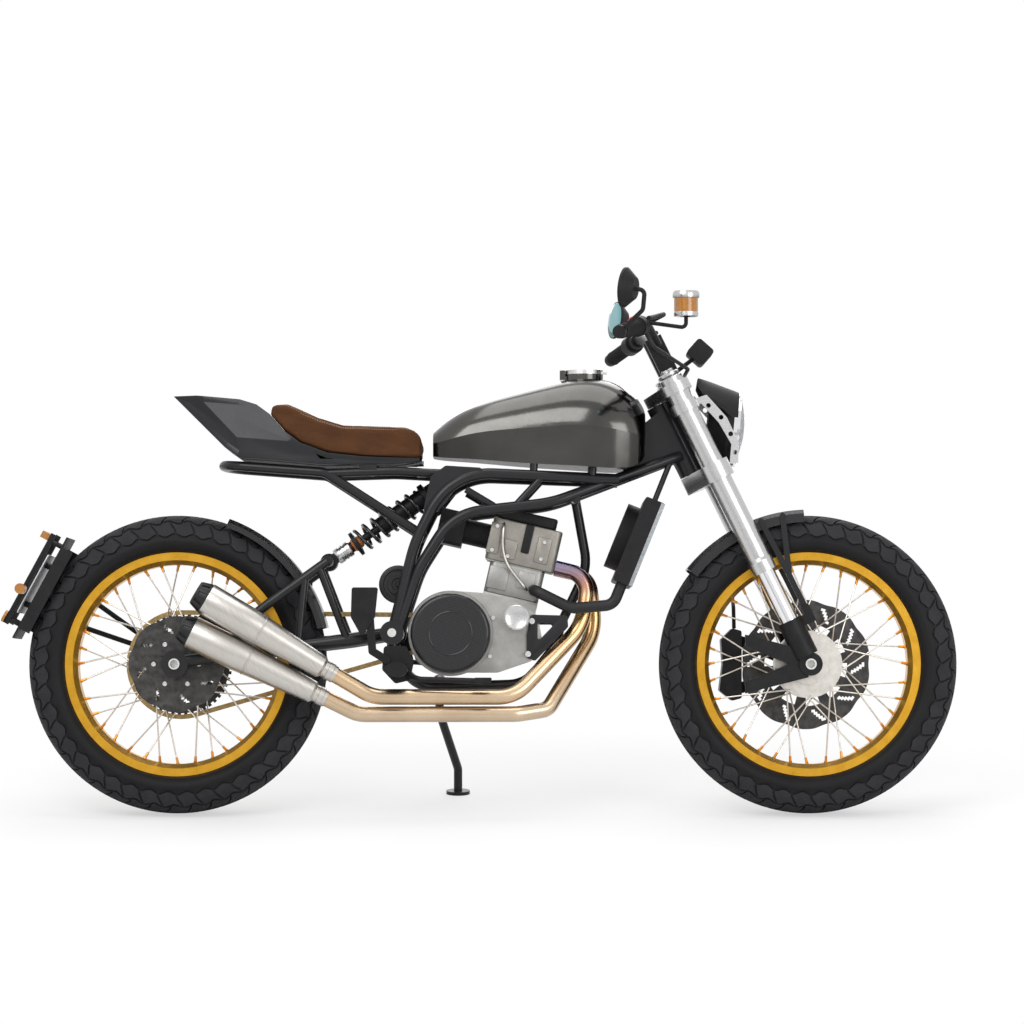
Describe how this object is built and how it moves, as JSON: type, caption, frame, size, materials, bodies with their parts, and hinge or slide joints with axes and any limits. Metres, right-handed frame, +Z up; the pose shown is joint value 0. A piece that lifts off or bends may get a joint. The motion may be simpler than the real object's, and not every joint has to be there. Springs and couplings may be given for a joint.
{
  "type": "street tracker motorcycle",
  "caption": "Bare single-cylinder street tracker motorcycle with wire wheels, twin raised silencers, flat seat with kicked-up tail and wide bars, leaning on its side stand.",
  "frame": {"origin": "on the ground, under the middle of the machine's bounding box", "axes": "+X from the rear wheel towards the front wheel, +Y to the rider's left where the side stand is, +Z up; the machine leans 9 degrees to its left on the stand"},
  "size_m": [2.1982, 0.9239, 1.2756],
  "materials": {
    "amber_plastic": "amber, translucent",
    "black_plastic": "moulded",
    "bolt_steel": "plated steel",
    "carbon": "woven, lacquered",
    "cast_alloy": "as cast",
    "chain_brass": "gold plated links",
    "chrome": "hard chrome",
    "disc_steel": "ground disc steel",
    "fork_silver": "satin",
    "frame_black": "satin black",
    "gold_rim": "gold anodised",
    "grip_rubber": "ribbed",
    "hose_rubber": "matt",
    "lamp_glass": "clear",
    "machined_black": "black anodised",
    "plate_white": "pale, blank",
    "radiator_alloy": "black core and tanks",
    "raw_steel": "dark polished bare steel",
    "seat_leather": "brown, stitched",
    "spoked_hub": "machined hub with stainless spokes",
    "spring_black": "gloss black",
    "stainless": "brushed, warm heat tint",
    "tail_paint": "dark grey gloss",
    "tyre": "matt black tread rubber"
  },
  "bodies": {
    "frame": {"main_frame": "frame_black", "swingarm": "frame_black", "pivot_bolt": "bolt_steel", "rear_axle": "bolt_steel", "rear_shock": "machined_black", "shock_spring": "spring_black", "seat_frame": "frame_black", "tail_unit": "tail_paint", "seat_pad": "seat_leather", "tank": "raw_steel", "crankcase": "cast_alloy", "cylinder_barrel": "cast_alloy", "cylinder_head": "cast_alloy", "cam_cover": "black_plastic", "clutch_cover": "carbon", "intake": "black_plastic", "engine_plates": "frame_black", "radiator": "radiator_alloy", "coolant_hose": "hose_rubber", "exhaust_pipes": "stainless", "mufflers": "stainless", "rear_hugger": "carbon", "plate_holder": "frame_black", "drive_chain": "chain_brass", "foot_controls": "machined_black", "rear_caliper": "machined_black", "number_plate": "plate_white", "rear_lamps": "amber_plastic", "horn": "black_plastic"},
    "steering": {"fork_outer_tubes": "fork_silver", "fork_inner_tubes": "chrome", "axle_clamps": "machined_black", "front_axle": "bolt_steel", "upper_yoke": "machined_black", "lower_yoke": "machined_black", "front_caliper": "machined_black", "bar_risers": "machined_black", "handlebar": "machined_black", "grips": "grip_rubber", "bar_controls": "black_plastic", "mirrors": "black_plastic", "headlight_shell": "black_plastic", "headlight_lens": "lamp_glass", "light_brackets": "fork_silver", "instrument_box": "black_plastic", "brake_reservoir": "amber_plastic", "brake_hose": "hose_rubber", "front_mudguard": "carbon", "mudguard_stays": "frame_black"},
    "front_wheel": {"front_tyre": "tyre", "front_rim": "gold_rim", "front_hub": "spoked_hub", "front_disc": "disc_steel"},
    "rear_wheel": {"rear_tyre": "tyre", "rear_rim": "gold_rim", "rear_hub": "spoked_hub", "rear_disc": "disc_steel", "rear_sprocket": "machined_black"},
    "side_stand": {"side_stand": "frame_black"},
    "filler_lid": {"filler_lid": "raw_steel"}
  },
  "joints": [
    {"name": "steering_head", "type": "hinge", "parent": "frame", "child": "steering", "pos_m": [0.71565, -0.13355, 0.32258], "axis": [-0.4384, 0.1406, 0.8877], "range_deg": [-35, 35]},
    {"name": "front_wheel_spin", "type": "hinge", "parent": "steering", "child": "front_wheel", "pos_m": [0.75609, -0.13047, 0.34206], "axis": [0, 0.9877, -0.1564], "continuous": true},
    {"name": "rear_wheel_spin", "type": "hinge", "parent": "frame", "child": "rear_wheel", "pos_m": [-0.6949, -0.13047, 0.34206], "axis": [0, 0.9877, -0.1564], "continuous": true},
    {"name": "stand_fold", "type": "hinge", "parent": "frame", "child": "side_stand", "pos_m": [-0.09491, -0.0167, 0.28051], "axis": [0, 0.9744, 0.225], "range_deg": [0, 100]},
    {"name": "lid_hinge", "type": "hinge", "parent": "frame", "child": "filler_lid", "pos_m": [0.19109, -0.02487, 1.00875], "axis": [0, -0.9877, 0.1564], "range_deg": [0, 95]}
  ]
}
